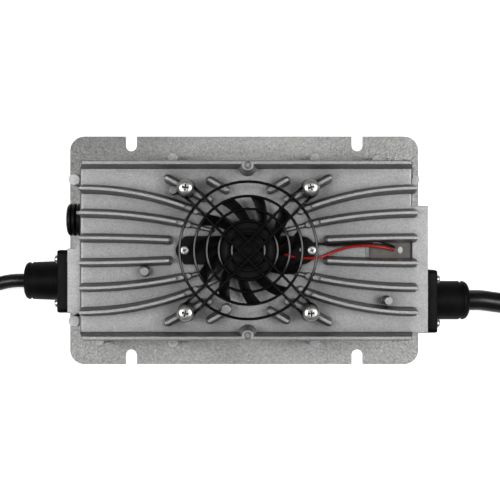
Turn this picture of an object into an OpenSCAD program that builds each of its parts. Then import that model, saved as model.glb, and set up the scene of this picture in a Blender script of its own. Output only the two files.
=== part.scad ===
// Waterproof battery charger. A finned die-cast housing stands on a slotted base plate, filled with potting
// compound, and is cooled by a guarded fan. The mains lead leaves on the left, the battery lead on the right.
// The origin is the middle of the base plate's underside, +Z is up and +Y is away from the reader.

/* [Base plate] */
// Length of the base plate
plate_l = 217; // [214:1:240]
// Width of the base plate
plate_w = 142; // [138:1:160]
// Thickness of the base plate
plate_t = 2; // [1.5:0.5:3]
// Corner radius of the base plate
plate_r = 9; // [4:1:14]
// Width of the four mounting slots
slot_w = 7; // [5.5:0.1:8]
// Distance of the slots' round ends from the middle line
slot_y = 65.3; // [63:0.1:66]
// Distance of the slots from the middle, left and right
slot_x = 70.4; // [60:0.1:80]

/* [Housing] */
// Reach of the housing's top face to the left
case_left = 95.6; // [94:0.2:97]
// Reach of the housing's top face to the right
case_right = 98.3; // [97:0.2:99]
// Half width over the rails, at their top
case_half_w = 51.6; // [51:0.2:52.6]
// Height of the housing's flat top face above the floor
case_top = 45; // [45:0.5:50]
// Height of the fins and rails above the top face
fin_h = 12; // [10:0.5:14]
// Thickness of a fin at its top
fin_top_w = 1.85; // [1.4:0.05:2.2]
// How far each side of a fin leans out over its height
fin_lean = 1.6; // [1.2:0.1:1.8]
// Draft angle of the outer walls
wall_draft = 2.5; // [1:0.5:3]
// Thickness of the top wall
top_wall = 4; // [3:0.5:5]

/* [Fan and guard] */
// Distance of the fan's axis to the right of the plate's middle
fan_x = 2.6; // [2:0.1:3.2]
// Number of impeller blades
blade_count = 11; // [7:1:13]
// Radius of the impeller over its blades
impeller_r = 31; // [28:0.5:33]
// Radius of the impeller's hub
hub_r = 17.6; // [17.6:0.1:19]
// Diameter of the guard's wire
guard_wire_d = 1.6; // [1.4:0.1:2]
// Distance between neighbouring guard screws
guard_pitch = 71.5; // [71.5:0.1:73]

/* [Cable glands] */
// Side of the square gland flanges
flange_side = 37; // [36:0.5:40]
// Distance between neighbouring gland screws
gland_pitch = 26; // [25:0.5:28]
// Height of both cables where they leave the housing
cable_z = 24; // [23:0.5:25]
// Distance of the mains lead from the middle line, towards the reader
input_y = 18.2; // [17:0.1:19]
// Distance of the battery lead from the middle line, towards the reader
output_y = 30; // [29:0.1:30]
// Diameter of the mains lead
input_d = 8.3; // [7.5:0.1:8.4]
// Diameter of the battery lead
output_d = 12.2; // [11:0.1:12.4]

/* [Hidden] */
$fn = 48;

gasket_t = 1;
case_foot = plate_t + gasket_t;
fin_top = case_top + fin_h;
cavity_top = case_top - top_wall;
wall_t = 4.1;
cavity_left = case_left - wall_t;
cavity_right = case_right - wall_t;
cavity_half_w = case_half_w - wall_t;
rail_top_w = 2.4;
rail_boss_y = case_half_w - 2.6;
edge_r = 1.5;
case_corner_r = 4;
rail_end = 2.6;
slide_gap = 0.05;
through = 1;
sunk = 1;

// Fins, measured from the fan's axis
fin_end_left = -96.2;
fin_end_right = 96.3;
fin_rows = [[35.6, 176], [21.6, 285], [7.2, 1000]];
fin_ledge_r = 44.3;
fin_ledge_drop = 2;
fin_tip_r = 41.2;
fin_knob_r = 37.9;
fin_knob_h = 4.5;
left_pin_at = [-57.5, -12.2];
right_pin_at = [83.1, -29];
inner_fin_r = 46.4;
rib_inner_r = 24;
rib_h = 2.3;
rib_top_w = 1.3;
rib_lean = 0.6;

// Window in the top face through which the fan's wires reach the potting compound
window_x0 = 72.7;
window_x1 = 98.2;
window_w = 9.2;
potting_drop = 2.3;

// Pads that carry the cable glands
left_pad_x = 103.3;
left_pad_y = [-input_y - flange_side / 2 - 0.1, 0.8 - input_y + flange_side / 2];
left_pad_top = 42;
right_pad_x = 107.3;
right_pad_y = [0.3 - output_y - flange_side / 2, 25.9];
pad_to_boss = 5.2;

// Screw bosses for the base plate: place and radius at the foot, first those in the long walls
base_boss_top = 34;
base_bosses = [[42.2, case_half_w + 3.4, 3.3], [100.6, pad_to_boss - left_pad_y[0], 3.7]];
base_screw_r = 2;
base_screw_l = 7;

// Short stubs that the mould's ejectors leave on the long walls
wall_stubs = [[78.9, 1], [-85.9, -1]];
wall_stub_top = 31;

// Heights and places of the parts on the circuit board
board_z = 6;
board_t = 1.6;
board_top = board_z + board_t;
board_gap = 5.5;
core_size = [44, 36, 30];
core_leg = 7;
core_yoke = 6;
bulk_size = [12.5, 30];
output_cap_size = [6.3, 25];
input_choke_size = [12, 12];
output_choke_size = [16, 14];
fuse_size = [20, 6, 7];
transistor_size = [16, 5, 26];
transformer_at = [10, 8];
bulk_at = [[-52, 24], [-52, -3], [-26, 24]];
output_cap_at = [[60, 30], [74, 30], [60, 14], [74, 14]];
input_choke_at = [-58, -30];
output_choke_at = [50, -24];
fuse_at = [-22, -34];
transistor_x = [-34, -12, 10, 32];

// Rubber plug in the left wall: distance from the middle line, radius of its stem
side_plug_y = 18.4;
side_plug_r = 6;
side_plug_boss = 1.5;

// Fan
bar_z = case_top + 1;
bar_t = 1.8;
bar_top = bar_z + bar_t;
bar_w = 16.5;
bar_left = 38.7;
bar_right = 39.1;
ear_x = 36.9;
ear_r = 5.3;
locator_at = [30.8, 0.3];
locator_r = 1.2;
motor_plate_r = 15.5;
motor_plate_top = bar_z + 2.5;
motor_board_t = 0.8;
bearing_tube_r = 4;
bearing_r = 3;
shaft_r = 1.25;
running_gap = 0.03;
hub_z = 50;
hub_top = 58.5;
hub_wall = 1.6;
blade_z = [50.6, 58];
blade_sweep = 18;
blade_chord = 8.2;
blade_t = 1.1;

// Guard
guard_r = guard_wire_d / 2;
guard_ring_r = [9.35, 16.8, 23.6, 30.8, 39.05];
ring_z = fin_top + 3 + guard_r;
arm_z = ring_z + guard_wire_d;
arm_gap = 7.3;
arm_level_end = 42.6;
arm_foot = 46.6;
arm_bend_r = 2.5;
arm_lap = 0.15;
arm_hair = 0.01;
post_along = guard_pitch / sqrt(2);
loop_z = fin_top + guard_r;
guard_screw_r = 2.5;

// Cable glands: length of the sleeve, radius at the flange, radius at the end, groove's distance from the end
gland_gasket_t = 0.8;
flange_t = 5.4;
input_sleeve = [21.5, 11.85, 11.2, 3.6];
output_sleeve = [21, 11.6, 11.6, 4.8];
input_exit = left_pad_x + gland_gasket_t + flange_t + input_sleeve[0];
output_exit = right_pad_x + gland_gasket_t + flange_t + output_sleeve[0];
gland_screw_r = 1.45;

// Mains lead: from the gland down to its coil, the coil, and up over the coil to the plug
input_route = [[-131, -18.2, 24], [-137, -18.2, 24], [-143, -18.9, 23.4], [-149, -20.4, 22.1],
    [-155, -21.7, 20.3], [-161, -23.1, 18], [-167, -24.5, 15.3], [-174, -26.1, 12], [-181, -27.6, 8.9],
    [-188, -28.8, 6.6], [-196, -29.8, 5], [-205, -30.4, 4.3], [-218, -30.5, 4.2]];
input_coil_at = [-218, 23.8];
input_coil_r = 46;
input_tail_route = [[-175.7, 5.8, 12.5], [-178.4, 0.3, 13.1], [-181.8, -4.8, 14.6], [-186, -9.4, 16.8],
    [-191, -13.4, 19], [-196.7, -16.7, 20.4], [-202.8, -19.3, 20.9], [-209, -21.1, 21.1],
    [-215.4, -21.5, 21.4], [-221.8, -20.7, 22], [-228, -18.6, 22.8], [-233.7, -15.4, 23.8],
    [-238.7, -11.2, 24.9], [-243, -6.1, 26], [-246.2, -0.2, 27], [-248.4, 6.4, 27.9],
    [-249.4, 12.6, 28.4], [-249.6, 18, 28.6]];

// Battery lead: from the gland down to its coil, the coil, and up onto the coil to the connector
output_route = [[134.5, -30, 24], [142, -30, 24], [149, -30.9, 23.4], [156, -31.9, 22.3], [163, -33.1, 20.6],
    [170, -34.5, 18.4], [177, -36, 15.8], [184, -37.5, 13.1], [191, -38.8, 10.7], [198, -39.9, 8.8],
    [206, -40.8, 7.3], [216, -41.4, 6.4], [236, -41.5, 6.2]];
output_coil_at = [236, 25.6];
output_coil_r = 61;
output_tail_route = [[182, 16, 6.2], [183.3, 9.3, 7], [185.7, 2.9, 8.6], [189, -3.3, 10.8], [193.3, -9, 13.1],
    [198.3, -14.2, 15.2], [204, -18.8, 16.9], [210.4, -22.6, 18.2], [217.2, -25.7, 19.2],
    [224.4, -27.9, 19.8], [231.5, -29.1, 20.1], [238, -29.4, 20.2]];

plug_at = input_tail_route[len(input_tail_route) - 1];
connector_at = output_tail_route[len(output_tail_route) - 1];
plug_neck_l = 22;
plug_body_l = 32;
connector_w = 36;
contact_x = 28;
contact_y = [-8.6, 8.6];

// Fan wires: from the motor board over the bracket and between the fins into the window
fan_wire_r = 0.7;
red_route = [[15.2, -1.2, 48.55], [19, -1.4, 48.55], [23.3, -2.2, 48.55], [29.3, -3.9, 48.55],
    [36.4, -4.6, 48.6], [43, -4.2, 48.6], [47.3, -3, 47.8], [51.3, -1.3, 47], [57.6, 0.9, 46.6],
    [63.9, 2.2, 46.8], [71.6, 2.6, 47.2], [78.4, 2.1, 47], [84.3, 1, 45.6], [86.9, 0.1, 44],
    [87.6, -0.3, 42.4]];
black_route = [[15.2, 1.2, 48.55], [21, 1.6, 48.55], [28, 3, 48.55], [36, 4, 48.6], [43.6, 3.8, 49],
    [51.4, 2.9, 49.8], [59.9, 3.4, 49.6], [68.4, 4.2, 50], [76.6, 4.3, 49.6], [82.5, 3.6, 47.6],
    [86.6, 2.4, 45], [87.9, 1.9, 43.4], [88.2, 1.7, 42.2]];

// Points on an arc in the plane
function arc(cx, cy, r, a0, a1, n = 6) =
    [for (i = [0:n]) let (a = a0 + (a1 - a0) * i / n) [cx + r * cos(a), cy + r * sin(a)]];

// Unit vector
function unit(v) = v / norm(v);

// Direction of a route at one of its points
function heading(route, i) =
    unit(route[min(i + 1, len(route) - 1)] - route[max(i - 1, 0)]);

// One ring of a tube, square to its route
function tube_ring(at, along, r, sides) =
    let (level = unit(cross([0, 0, 1], along)), up = cross(along, level))
    [for (k = [0:sides - 1]) let (a = 360 * (k + 0.5) / sides) at + r * (cos(a) * level + sin(a) * up)];

// Round tube swept along a route as one closed solid
module tube(route, r, sides) {
    rings = len(route);
    points = [for (i = [0:rings - 1]) each tube_ring(route[i], heading(route, i), r, sides)];
    walls = [for (i = [0:rings - 2], k = [0:sides - 1])
        let (a = i * sides, next = (k + 1) % sides) [a + k, a + sides + k, a + sides + next, a + next]];
    ends = [[for (k = [0:sides - 1]) k], [for (k = [sides - 1:-1:0]) (rings - 1) * sides + k]];
    polyhedron(points, concat([ends[0]], walls, [ends[1]]));
}

// Rectangle with round corners
module rounded_rect(l, w, r) {
    for (sx = [-1, 1], sy = [-1, 1]) translate([sx * (l / 2 - r), sy * (w / 2 - r)]) circle(r);
    square([l - 2 * r, w], center = true);
    square([l, w - 2 * r], center = true);
}

// Child repeated in the four quadrants
module quadrants() {
    for (mx = [0, 1], my = [0, 1]) mirror([mx, 0, 0]) mirror([0, my, 0]) children();
}

// Child turned from standing up to pointing along +X
module along_x() {
    rotate([0, 90, 0]) rotate([0, 0, 90]) children();
}

// Pan-head screw that stands on its head's underside, with a cross recess
module pan_screw(head_r, head_h, shank_r, shank_l, turn = 0) {
    crown = head_h * 0.62;
    recess = head_r * 0.98;
    difference() {
        union() {
            rotate_extrude() polygon(concat([[0, 0], [head_r - 0.15, 0], [head_r, 0.15]],
                [for (i = [0:6]) let (a = 90 * i / 6)
                    [head_r * (0.42 + 0.58 * cos(a)), head_h - crown + crown * sin(a)]], [[0, head_h]]));
            translate([0, 0, -shank_l]) cylinder(r = shank_r, h = shank_l + 0.1);
        }
        for (a = [0, 90]) rotate(a + turn) translate([0, 0, head_h])
            cube([recess, head_r * 0.2, head_h], center = true);
        translate([0, 0, head_h * 0.45]) cylinder(r = head_r * 0.22, h = head_h);
    }
}

// Half thickness of a fin or rib at a height above its foot
function lean_half(top_w, lean, h, z) = top_w / 2 + lean * (h - z) / h;

// Cross-section of a fin or rib, sunk into the top face
module lean_profile(top_w, lean, h) {
    low = lean_half(top_w, lean, h, -sunk);
    high = lean_half(top_w, lean, h, h);
    polygon([[-low, -sunk], [low, -sunk], [high, h], [-high, h]]);
}

// Round drafted end of a fin or rib, a hair inside the fin's own faces
module lean_end(top_w, lean, h) {
    hair = 0.03;
    translate([0, 0, hair - sunk]) cylinder(
        r1 = lean_half(top_w, lean, h, -sunk) - hair, r2 = lean_half(top_w, lean, h, h) - hair,
        h = h + sunk - 2 * hair);
}

// Angle that a fin's arc turns through between its outer end and a distance from the fan's axis
function fin_angle(end_x, row, reach) =
    let (cx = -abs(end_x), cy = row[0] - row[1], d = norm([cx, cy]),
        k = (reach * reach - d * d - row[1] * row[1]) / (2 * row[1]))
    atan2(cx, cy) + acos(k / d);

// Place on a fin's arc at an angle from its outer end
function fin_point(end_x, row, a) =
    [-abs(end_x) + row[1] * sin(a), row[0] - row[1] + row[1] * cos(a)];

// Stretch of a curved fin or rib between two angles from its outer end, on the left side
module fin_arc(end_x, row, a0, a1, top_w, lean, h) {
    translate([-abs(end_x), row[0] - row[1], 0]) rotate(90 - a1) rotate_extrude(angle = a1 - a0, $fn = 240)
        translate([row[1], 0]) lean_profile(top_w, lean, h);
    translate(fin_point(end_x, row, a1)) lean_end(top_w, lean, h);
}

// One curved fin with its lower tip and its low rib, on the left side
module curved_fin(end_x, row) {
    inner = row[0] < 10;
    a_tip = fin_angle(end_x, row, inner ? inner_fin_r : fin_tip_r);
    difference() {
        union() {
            fin_arc(end_x, row, 0, a_tip, fin_top_w, fin_lean, fin_h);
            translate(fin_point(end_x, row, 0)) lean_end(fin_top_w, fin_lean, fin_h);
        }
        translate([0, 0, fin_h - fin_ledge_drop]) cylinder(r = fin_ledge_r, h = fin_h);
    }
    if (!inner) {
        fin_arc(end_x, row, a_tip - 0.2, fin_angle(end_x, row, rib_inner_r), rib_top_w, rib_lean, rib_h);
        translate(fin_point(end_x, row, fin_angle(end_x, row, fin_knob_r))) fin_knob();
    }
}

// Low round knob beyond the tip of a fin
module fin_knob() {
    translate([0, 0, -through]) cylinder(r1 = 2.1, r2 = 1.6, h = fin_knob_h + through);
}

// Straight drafted fin between two places, whose last stretch is lower
module stepped_fin(from, to, low_stretch, drop) {
    run = to - from;
    translate(from) rotate(atan2(run[1], run[0])) difference() {
        union() {
            lean_end(fin_top_w, fin_lean, fin_h);
            along_x() linear_extrude(norm(run)) lean_profile(fin_top_w, fin_lean, fin_h);
            translate([norm(run), 0, 0]) lean_end(fin_top_w, fin_lean, fin_h);
        }
        translate([norm(run) - low_stretch, -fin_h, fin_h - drop]) cube([2 * fin_h, 2 * fin_h, fin_h]);
    }
}

// All fins, posts and pins that stand on the top face
module fins() {
    post = guard_pitch / 2;
    translate([fan_x, 0, case_top]) {
        for (row = fin_rows, sy = [0, 1]) mirror([0, sy, 0]) {
            curved_fin(fin_end_left, row);
            mirror([1, 0, 0]) curved_fin(fin_end_right, row);
        }
        quadrants() {
            stepped_fin([46.9, 41.6], [26.6, 30.6], 4.8, fin_ledge_drop);
            stepped_fin([22.2, 40.4], [12.9, 35.1], 3.7, fin_ledge_drop + 1.5);
            translate([22.6, 29.6]) fin_knob();
            translate([post, post, -through]) cylinder(r1 = 5.6, r2 = 4.6, h = fin_h + through);
        }
        for (x = [-ear_x, ear_x]) translate([x, 0, -through])
            cylinder(r = 4.6, h = bar_z - case_top + through);
        for (sy = [-1, 1]) intersection() {
            translate([-0.3, sy * rail_boss_y, -through]) cylinder(r1 = 5.9, r2 = 3.4, h = fin_h + through);
            translate([-8, sy > 0 ? rail_boss_y - 7 : -rail_boss_y - 1, -through])
                cube([16, 8, fin_h + through]);
        }
        translate([locator_at[0], locator_at[1], -through])
            cylinder(r = locator_r, h = bar_top + 0.2 - case_top + through);
        translate([-43.2, 34.8, -through]) cylinder(r1 = 2.7, r2 = 2.3, h = 6 + through);
        translate([-12.7, -33.9, -through]) cylinder(r1 = 3.2, r2 = 2.7, h = fin_h - 3.5 + through);
    }
    translate([left_pin_at[0], left_pin_at[1], case_top - through])
        cylinder(r1 = 3.2, r2 = 2.55, h = 5 + through);
    translate([right_pin_at[0], right_pin_at[1], case_top - through])
        cylinder(r1 = 2.7, r2 = 2.3, h = fin_h - 1.5 + through);
    translate([window_x0 - 1.6, 0.7 - window_w / 2, case_top - through])
        cube([2.6, window_w - 1.4, through + 0.4]);
}

// Outer block of the casting, with its rails and drafted walls
module case_block() {
    lean = tan(wall_draft);
    half_foot = case_half_w + (fin_top - case_foot) * lean;
    rail_in = case_half_w - rail_top_w;
    rail_foot = rail_in - fin_lean;
    left_foot = case_left + (case_top - case_foot) * lean;
    right_foot = case_right + (case_top - case_foot) * lean;
    left_rail = case_left - rail_end;
    right_rail = case_right - rail_end + 0.8;
    long = case_left + case_right + 40;
    hair = 0.04;
    difference() {
        intersection() {
            translate([-long / 2, 0, 0]) along_x() linear_extrude(long) polygon([
                [-half_foot, case_foot], [half_foot, case_foot], [case_half_w, fin_top - 0.5],
                [case_half_w - 0.5, fin_top], [rail_in, fin_top], [rail_foot, case_top],
                [-rail_foot, case_top], [-rail_in, fin_top], [0.5 - case_half_w, fin_top],
                [-case_half_w, fin_top - 0.5]]);
            translate([0, half_foot + 5, 0]) rotate([90, 0, 0]) linear_extrude(2 * half_foot + 10) polygon([
                [-left_foot, case_foot], [right_foot, case_foot], [case_right, case_top],
                [right_rail, fin_top - 1], [right_rail - 0.8, fin_top], [0.8 - left_rail, fin_top],
                [-left_rail, fin_top - 1], [-case_left, case_top]]);
        }
        for (side = [[-1, case_left], [1, case_right]], sy = [-1, 1])
            scale([side[0], sy, 1])
                translate([side[1] - case_corner_r - fin_h * lean, case_half_w - case_corner_r, 0])
                    corner_cut(case_corner_r - hair, lean);
        for (side = [[-case_left, 1], [case_right, -1]])
            translate([side[0], rail_foot, case_top - edge_r]) rotate([90, 0, 0])
                linear_extrude(2 * rail_foot) difference() {
                    translate([side[1] > 0 ? -3 : -edge_r, 0]) square([edge_r + 3, edge_r + 1]);
                    translate([side[1] * edge_r, 0]) circle(edge_r);
                }
    }
}

// What the drafted round corner of the casting takes off, seen from its centre towards +X and +Y
module corner_cut(r, lean) {
    h = fin_top - case_foot;
    difference() {
        translate([0, 0, case_foot - through]) cube([3 * r, 3 * r, h + 2 * through]);
        translate([0, 0, case_foot - 2 * through])
            cylinder(r1 = r + (h + 2 * through) * lean, r2 = r - 2 * through * lean, h = h + 4 * through);
    }
}

// Pads, bosses and fin feet on the outer walls
module wall_bosses() {
    translate([0, 0, case_foot]) {
        linear_extrude(left_pad_top - case_foot) {
            translate([-left_pad_x, left_pad_y[0]])
                square([left_pad_x - cavity_left - 1, left_pad_y[1] - left_pad_y[0]]);
            difference() {
                translate([-case_left - 3.2, left_pad_y[1] - 0.1]) square([5, 3.3]);
                translate([-case_left - 4.8, left_pad_y[1] + 3.2]) circle(3.2);
            }
        }
        linear_extrude(case_top - case_foot) translate([cavity_right + 1, right_pad_y[0]])
            square([right_pad_x - cavity_right - 1, right_pad_y[1] - right_pad_y[0]]);
        for (boss = base_bosses, sx = [-1, 1], sy = [-1, 1])
            translate([sx * boss[0], sy * boss[1], 0])
                cylinder(r1 = boss[2], r2 = boss[2] - 0.3, h = base_boss_top - case_foot);
        for (stub = wall_stubs) translate([stub[0], stub[1] * (case_half_w + 3.1), 0])
            cylinder(r1 = 2.7, r2 = 2.5, h = wall_stub_top - case_foot);
        linear_extrude(base_boss_top - case_foot - 1) boss_necks(3);
    }
    translate([fan_x, 0, 0]) {
        for (row = fin_rows, sy = [-1, 1]) {
            translate([fin_end_left, sy * row[0], cavity_top]) cylinder(r1 = 2, r2 = 2.4, h = top_wall - 0.7);
            translate([fin_end_right, sy * row[0], case_foot])
                cylinder(r1 = 3.6, r2 = 2.4, h = case_top - case_foot - 0.7);
        }
        translate([fin_end_left - 1.6, fin_rows[1][0], cavity_top]) cylinder(r1 = 1.8, r2 = 1, h = fin_h + 1);
    }
    translate([-case_left - side_plug_boss, side_plug_y, cable_z]) rotate([0, 90, 0])
        cylinder(r = 10.6, h = side_plug_boss + 2);
}

// Bars that join the end walls to the screw bosses in front of them
module boss_necks(half_w) {
    reach = base_bosses[1][0];
    for (sy = [-1, 1]) translate([-reach, sy * base_bosses[1][1] - half_w]) square([2 * reach, 2 * half_w]);
}

// Die-cast housing
module housing() {
    post = guard_pitch / 2;
    screw_depth = 12;
    color("silver") difference() {
        union() {
            case_block();
            wall_bosses();
            fins();
        }
        translate([-cavity_left, -cavity_half_w, case_foot - through])
            cube([cavity_left + cavity_right, 2 * cavity_half_w, cavity_top - case_foot + through]);
        translate([window_x0, -window_w / 2, cavity_top - 0.1])
            cube([window_x1 - window_x0, window_w, top_wall + 0.6]);
        for (boss = base_bosses, sx = [-1, 1], sy = [-1, 1])
            translate([sx * boss[0], sy * boss[1], case_foot - through])
                cylinder(r = base_screw_r + slide_gap, h = base_screw_l);
        translate([fan_x, 0, 0]) {
            quadrants() translate([post, post, fin_top - screw_depth])
                cylinder(r = guard_screw_r + slide_gap, h = screw_depth + 1);
            for (x = [-ear_x, ear_x]) translate([x, 0, bar_z - 4]) cylinder(r = 1.5 + slide_gap, h = 5);
            for (sy = [-1, 1]) translate([-0.3, sy * (rail_boss_y - 0.2), fin_top - 1.2])
                cylinder(r = 2, h = 2);
        }
        gland_holes([-left_pad_x, -input_y], 1, input_d / 2 + 0.3);
        gland_holes([right_pad_x, -output_y], -1, output_d / 2 + 0.3);
        translate([-case_left - 10, side_plug_y, cable_z]) rotate([0, 90, 0])
            cylinder(r = side_plug_r + slide_gap, h = 20);
    }
}

// Cable hole and four screw holes of a gland, cut into its pad
module gland_holes(at, inward, hole_r) {
    depth = 8;
    translate([at[0], at[1], cable_z]) rotate([0, 90 * inward, 0]) {
        translate([0, 0, -1]) cylinder(r = hole_r, h = 18);
        for (a = [-1, 1], b = [-1, 1]) translate([a * gland_pitch / 2, b * gland_pitch / 2, -1])
            cylinder(r = gland_screw_r + slide_gap, h = depth + 1);
    }
}

// Base plate
module base_plate() {
    color("gray") difference() {
        linear_extrude(plate_t) difference() {
            rounded_rect(plate_l, plate_w, plate_r);
            for (sx = [-1, 1], sy = [-1, 1]) translate([sx * slot_x, sy * slot_y]) {
                circle(slot_w / 2);
                translate([-slot_w / 2, sy > 0 ? 0 : -20]) square([slot_w, 20]);
            }
        }
        for (boss = base_bosses, sx = [-1, 1], sy = [-1, 1])
            translate([sx * boss[0], sy * boss[1], -through]) {
                cylinder(r = base_screw_r + 0.3, h = plate_t + 2);
                cylinder(r1 = 5, r2 = base_screw_r, h = through + 1.8);
            }
    }
}

// Sealing gasket between the base plate and the housing
module base_gasket() {
    inset = 0.4;
    lean = tan(wall_draft) * (case_top - case_foot);
    half_w = case_half_w + (fin_top - case_foot) * tan(wall_draft) - inset;
    color("black") translate([0, 0, plate_t]) linear_extrude(gasket_t) difference() {
        union() {
            translate([(case_right - case_left) / 2, 0])
                rounded_rect(case_left + case_right + 2 * lean - 2 * inset, 2 * half_w, case_corner_r + lean);
            translate([-left_pad_x + inset, left_pad_y[0] + inset])
                square([20, left_pad_y[1] - left_pad_y[0] - 2 * inset]);
            translate([right_pad_x - 20 - inset, right_pad_y[0] + inset])
                square([20, right_pad_y[1] - right_pad_y[0] - 2 * inset]);
            for (boss = base_bosses, sx = [-1, 1], sy = [-1, 1])
                translate([sx * boss[0], sy * boss[1]]) circle(boss[2] - inset / 2);
            boss_necks(3 - inset);
        }
        translate([-cavity_left, -cavity_half_w])
            square([cavity_left + cavity_right, 2 * cavity_half_w]);
        for (boss = base_bosses, sx = [-1, 1], sy = [-1, 1])
            translate([sx * boss[0], sy * boss[1]]) circle(base_screw_r + 0.2);
    }
}

// Countersunk screws that hold the base plate, flush with its underside
module base_screws() {
    head_h = 1.7;
    color("lightgray") for (boss = base_bosses, sx = [-1, 1], sy = [-1, 1])
        translate([sx * boss[0], sy * boss[1], 0.1]) difference() {
            union() {
                cylinder(r1 = 3.6, r2 = base_screw_r, h = head_h);
                cylinder(r = base_screw_r, h = base_screw_l + 1);
            }
            for (a = [0, 90]) rotate(a) cube([4, 0.8, 2.4], center = true);
        }
}

// Potting compound that fills the housing round its electronics
module potting_compound() {
    fit = 0.1;
    color("dimgray") difference() {
        union() {
            translate([-cavity_left, -cavity_half_w, plate_t])
                cube([cavity_left + cavity_right, 2 * cavity_half_w, cavity_top - plate_t]);
            translate([window_x0, -window_w / 2, cavity_top - 0.1])
                cube([window_x1 - window_x0, window_w, top_wall - potting_drop + 0.1]);
        }
        board_blank();
        core_block();
        on_board(bulk_at) cylinder(r = bulk_size[0] + fit, h = bulk_size[1]);
        on_board(output_cap_at) cylinder(r = output_cap_size[0] + fit, h = output_cap_size[1]);
        on_board([input_choke_at]) cylinder(r = input_choke_size[0] + fit, h = input_choke_size[1]);
        on_board([output_choke_at]) cylinder(r = output_choke_size[0] + fit, h = output_choke_size[1]);
        fuse_block();
        transistor_blocks();
        translate([-cavity_left - 1, -input_y, cable_z]) rotate([0, 90, 0])
            cylinder(r = input_d / 2 + fit, h = 9);
        translate([cavity_right - 8, -output_y, cable_z]) rotate([0, 90, 0])
            cylinder(r = output_d / 2 + fit, h = 9);
    }
}

// Child at places on the circuit board
module on_board(places) {
    for (p = places) translate([p[0], p[1], board_top]) children();
}

// Board, core, fuse and transistors, which the potting compound encloses without a gap
module board_blank() {
    half_w = cavity_half_w - board_gap;
    translate([board_gap - cavity_left, -half_w, board_z])
        cube([cavity_left + cavity_right - 2 * board_gap, 2 * half_w, board_t]);
}

module core_block() {
    on_board([transformer_at - [core_size[0], core_size[1]] / 2]) cube(core_size);
}

module fuse_block() {
    on_board([fuse_at - [fuse_size[0], fuse_size[1]] / 2]) cube(fuse_size);
}

module transistor_blocks() {
    on_board([for (x = transistor_x) [x - transistor_size[0] / 2, cavity_half_w - transistor_size[1]]])
        cube(transistor_size);
}

// Circuit board
module circuit_board() {
    color("darkgreen") board_blank();
}

// Ferrite core of the transformer: two end legs joined over and under the winding
module transformer_core() {
    color([0.2, 0.2, 0.22]) difference() {
        core_block();
        winding_space(through);
    }
}

// Room between the core's legs, longer than the core by an allowance at both ends
module winding_space(longer) {
    room = [core_size[0] - 2 * core_leg, core_size[1] + 2 * longer, core_size[2] - 2 * core_yoke];
    on_board([transformer_at - [room[0], room[1]] / 2]) translate([0, 0, core_yoke]) cube(room);
}

// Winding of the transformer
module transformer_winding() {
    color([0.85, 0.7, 0.15]) winding_space(0);
}

// Bulk capacitors of the mains side
module bulk_capacitors() {
    color([0.1, 0.1, 0.3]) on_board(bulk_at) cylinder(r = bulk_size[0], h = bulk_size[1]);
}

// Capacitors of the battery side
module output_capacitors() {
    color([0.1, 0.1, 0.3]) on_board(output_cap_at) cylinder(r = output_cap_size[0], h = output_cap_size[1]);
}

// Ring-wound choke that lies flat
module ring_choke(size) {
    rotate_extrude() translate([size[0] * 0.4, 0]) square([size[0] * 0.6, size[1]]);
}

// Mains-side choke
module input_choke() {
    color([0.7, 0.35, 0.1]) on_board([input_choke_at]) ring_choke(input_choke_size);
}

// Battery-side choke
module output_choke() {
    color([0.7, 0.35, 0.1]) on_board([output_choke_at]) ring_choke(output_choke_size);
}

// Power transistors that stand against the housing's wall
module power_transistors() {
    color([0.12, 0.12, 0.12]) transistor_blocks();
}

// Mains fuse in its holder
module input_fuse() {
    color("white") fuse_block();
}

// Rubber plug in the spare opening of the left wall
module side_plug() {
    face = case_left + side_plug_boss;
    stem = cavity_left - face;
    color([0.08, 0.08, 0.08]) translate([-face, side_plug_y, cable_z]) rotate([0, -90, 0]) rotate_extrude()
        polygon([[0, stem], [side_plug_r, stem], [side_plug_r, 0], [9.3, 0], [9.7, 0.4], [9.7, 2.2],
            [9.3, 2.7], [7.6, 2.7], [7.6, 3.7], [9.4, 3.7], [9.7, 4], [9.7, 5.2], [9.3, 5.6], [7.8, 5.6],
            [7.8, 6.4], [9.4, 6.4], [9.6, 6.7], [9.5, 7.8], [8.6, 8.6], [0, 8.6]]);
}

// Bracket bar of the fan with its motor plate and bearing tube
module fan_bracket() {
    color([0.09, 0.09, 0.09]) translate([fan_x, 0, bar_z]) difference() {
        union() {
            linear_extrude(bar_t) {
                translate([-bar_left, 0]) half_bar(bar_left, bar_w, 3);
                translate([bar_right - bar_w / 2, 0]) circle(bar_w / 2);
                translate([0, -bar_w / 2]) square([bar_right - bar_w / 2, bar_w]);
                translate([-ear_x, 0]) circle(ear_r);
            }
            cylinder(r = motor_plate_r, h = motor_plate_top - bar_z);
            cylinder(r = bearing_tube_r, h = 10);
            translate([27.1, -6, bar_t / 2]) cube([3, 3.6, bar_t / 2 + 2.6]);
        }
        translate([27, -5.2, bar_t]) cube([4, 2.1, 1.6]);
        for (x = [-ear_x, ear_x]) translate([x, 0, -1]) cylinder(r = 1.6, h = 10);
        translate([locator_at[0], locator_at[1], -1]) cylinder(r = locator_r + 0.15, h = 10);
        translate([0, 0, 2.4]) cylinder(r = bearing_r + 0.02, h = 10);
        translate([12.5, -2.6, bar_t]) cube([5, 5.2, 5]);
    }
}

// Left half of the bar, whose two outer corners are round
module half_bar(l, w, r) {
    for (sy = [-1, 1]) translate([r, sy * (w / 2 - r)]) circle(r);
    translate([0, r - w / 2]) square([l, w - 2 * r]);
    translate([r, -w / 2]) square([l - r, w]);
}

// Ring-shaped circuit board of the motor
module fan_motor_board() {
    color("darkgreen") translate([fan_x, 0, motor_plate_top]) difference() {
        cylinder(r = 12.4, h = motor_board_t);
        translate([0, 0, -1]) cylinder(r = bearing_tube_r + 0.1, h = 4);
    }
}

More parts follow.
